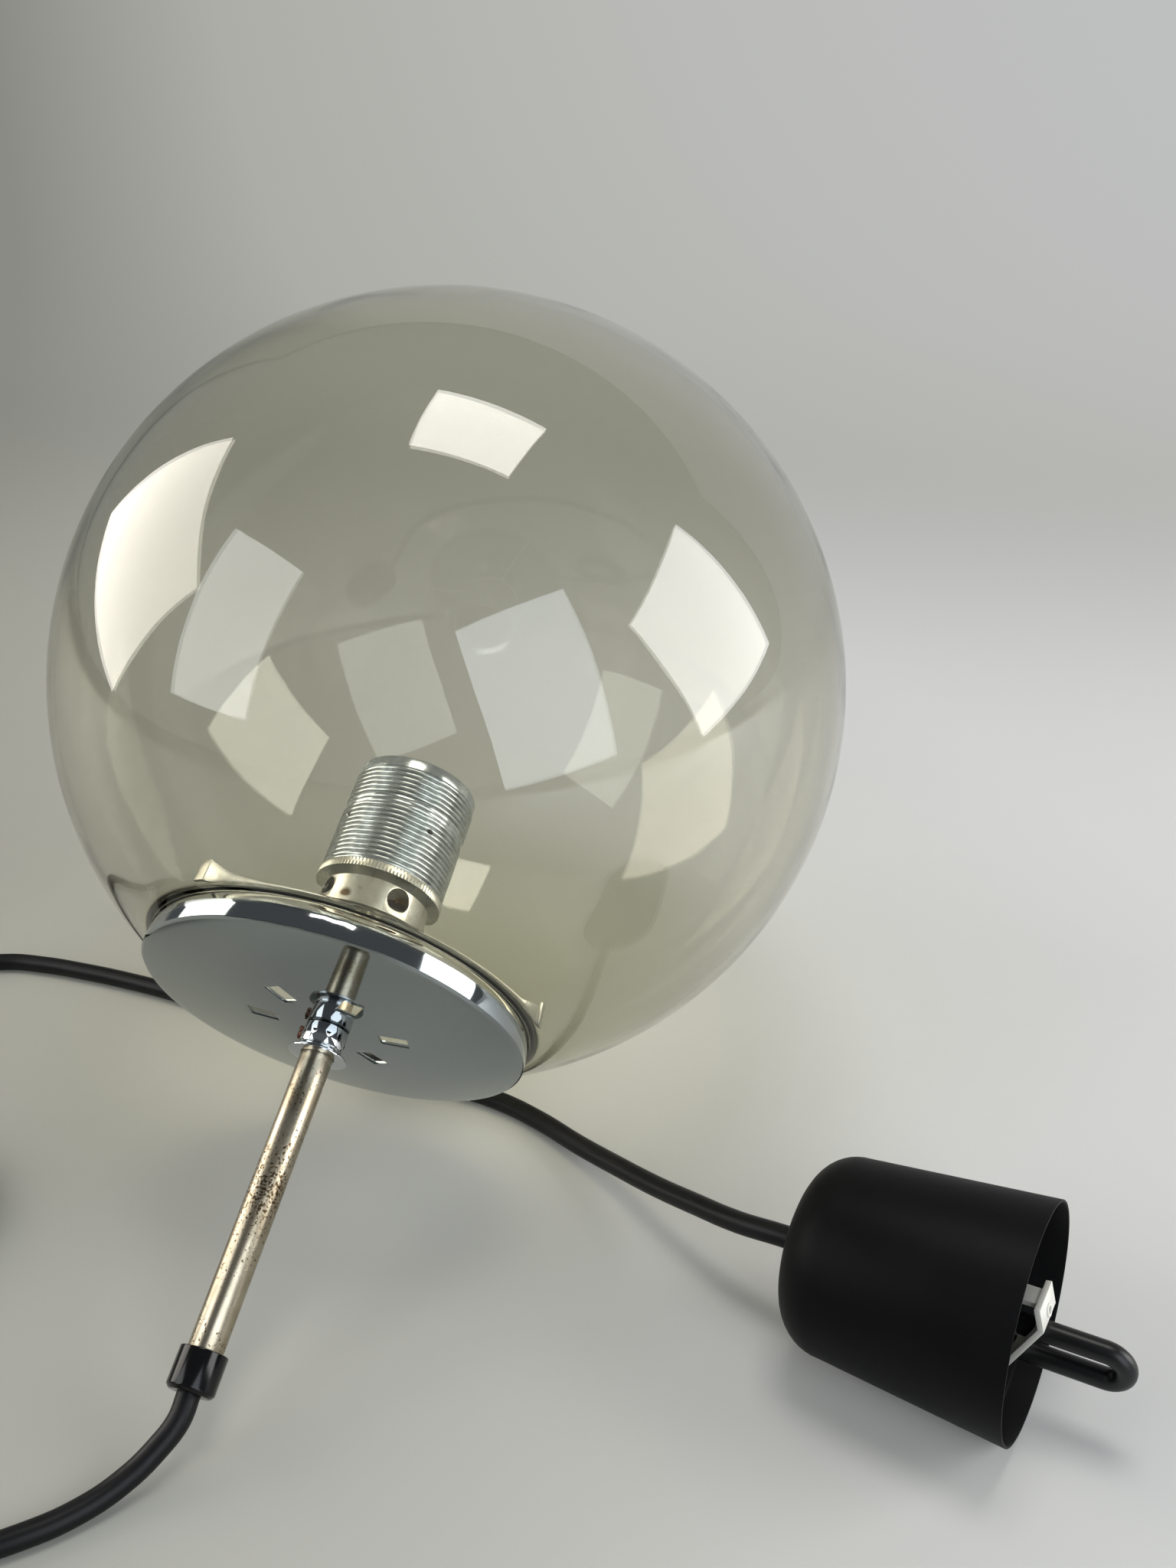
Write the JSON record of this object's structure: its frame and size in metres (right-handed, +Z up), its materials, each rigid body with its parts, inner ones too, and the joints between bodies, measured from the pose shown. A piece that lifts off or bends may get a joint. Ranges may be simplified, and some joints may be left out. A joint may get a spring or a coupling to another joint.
{
  "type": "globe pendant light",
  "caption": "Pendant light taken down: a smoked glass globe held under a round cover plate by folding arms on a stem, with lampholder, cord and ceiling cup.",
  "frame": {"origin": "middle of the lamp's footprint on the table, the cord and what is on it left out", "axes": "+Z up from the table, +Y from the stem's end towards the globe, +X to the ceiling cup's side"},
  "size_m": [0.4521, 0.4058, 0.266],
  "materials": {
    "smoked_glass": "smoked grey-brown glass, polished, with fine scratches and dust",
    "chrome": "bright chrome, fine scratches",
    "rusty_steel": "rusted steel",
    "nickel": "yellowed nickel plating, pitted",
    "cream_nickel": "pale nickel plating with brown spots",
    "zinc": "zinc plating, rolled",
    "brass": "plain brass",
    "porcelain": "glazed porcelain",
    "gloss_black": "gloss black plastic",
    "matt_black": "matt black moulded plastic",
    "black_moulding": "satin black moulded plastic",
    "white_moulding": "white moulded plastic",
    "white_zinc": "pale plated steel strip",
    "cord": "black round cord, satin sheath",
    "brown_core": "brown core insulation",
    "blue_core": "blue core insulation",
    "green_core": "green core insulation"
  },
  "bodies": {
    "lamp_body": {"stem_tube": "nickel", "stem_end_cap": "gloss_black", "stem_lead": "cord", "arm_hub": "nickel", "arm_rivets": "nickel", "lock_nut": "nickel", "holder_cap": "cream_nickel", "threaded_shell": "zinc", "insulating_ring": "porcelain", "screw_shell": "brass", "ceramic_insert": "porcelain", "terminal_screws": "brass", "earth_screw": "brass", "live_core": "brown_core", "neutral_core": "blue_core", "earth_core": "green_core", "cord_lamp_side": "cord", "cord_coil": "cord", "cord_cup_side": "cord", "grip_strap": "white_zinc", "hanging_loop": "black_moulding", "terminal_block": "white_moulding", "block_screws": "zinc", "cup_live_core": "brown_core", "cup_neutral_core": "blue_core", "cup_earth_core": "green_core"},
    "globe": {"globe": "smoked_glass"},
    "cover_plate": {"cover_plate": "chrome"},
    "collar": {"set_collar": "chrome"},
    "grub_screw": {"grub_screw": "rusty_steel"},
    "arm_1": {"glass_arm_1": "nickel"},
    "arm_2": {"glass_arm_2": "nickel"},
    "arm_3": {"glass_arm_3": "nickel"},
    "ceiling_cup": {"ceiling_cup": "matt_black"},
    "contact_tongue": {"contact_tongue": "brass"}
  },
  "joints": [
    {"name": "globe_slide", "type": "slide", "parent": "lamp_body", "child": "globe", "axis": [0, 0.866, 0.5], "range_m": [0, 0.028]},
    {"name": "plate_slide", "type": "slide", "parent": "lamp_body", "child": "cover_plate", "axis": [0, -0.866, -0.5], "range_m": [0, 0.06]},
    {"name": "collar_slide", "type": "slide", "parent": "cover_plate", "child": "collar", "axis": [0, -0.866, -0.5], "range_m": [0, 0.012]},
    {"name": "grub_turn", "type": "hinge", "parent": "collar", "child": "grub_screw", "pos_m": [0, -0.07782, 0.06685], "axis": [-0.9848, -0.0868, 0.1504], "range_deg": [0, 180]},
    {"name": "cup_slide", "type": "slide", "parent": "lamp_body", "child": "ceiling_cup", "axis": [0.9705, -0.2312, 0.068], "range_m": [0, 0.03]},
    {"name": "tongue_flex", "type": "hinge", "parent": "lamp_body", "child": "contact_tongue", "pos_m": [-0.01, -0.02145, 0.09939], "axis": [0, 0.5, -0.866], "range_deg": [0, 10], "stiffness_Nm_per_rad": 0.06},
    {"name": "arm_1_fold", "type": "hinge", "parent": "lamp_body", "child": "arm_1", "pos_m": [0.01494, -0.04942, 0.08174], "axis": [0.0872, -0.4981, 0.8627], "range_deg": [0, 50.5]},
    {"name": "arm_2_fold", "type": "hinge", "parent": "lamp_body", "child": "arm_2", "pos_m": [-0.00634, -0.05688, 0.09464], "axis": [-0.9063, 0.2113, -0.366], "range_deg": [0, 50.5]},
    {"name": "arm_3_fold", "type": "hinge", "parent": "lamp_body", "child": "arm_3", "pos_m": [-0.0086, -0.04393, 0.07223], "axis": [0.8192, 0.2868, -0.4967], "range_deg": [0, 50.5]}
  ],
  "couplings": [
    {"joint": "arm_1_fold", "follows": "globe_slide", "rad_per_m": 31.416},
    {"joint": "arm_2_fold", "follows": "globe_slide", "rad_per_m": 31.416},
    {"joint": "arm_3_fold", "follows": "globe_slide", "rad_per_m": 31.416}
  ]
}
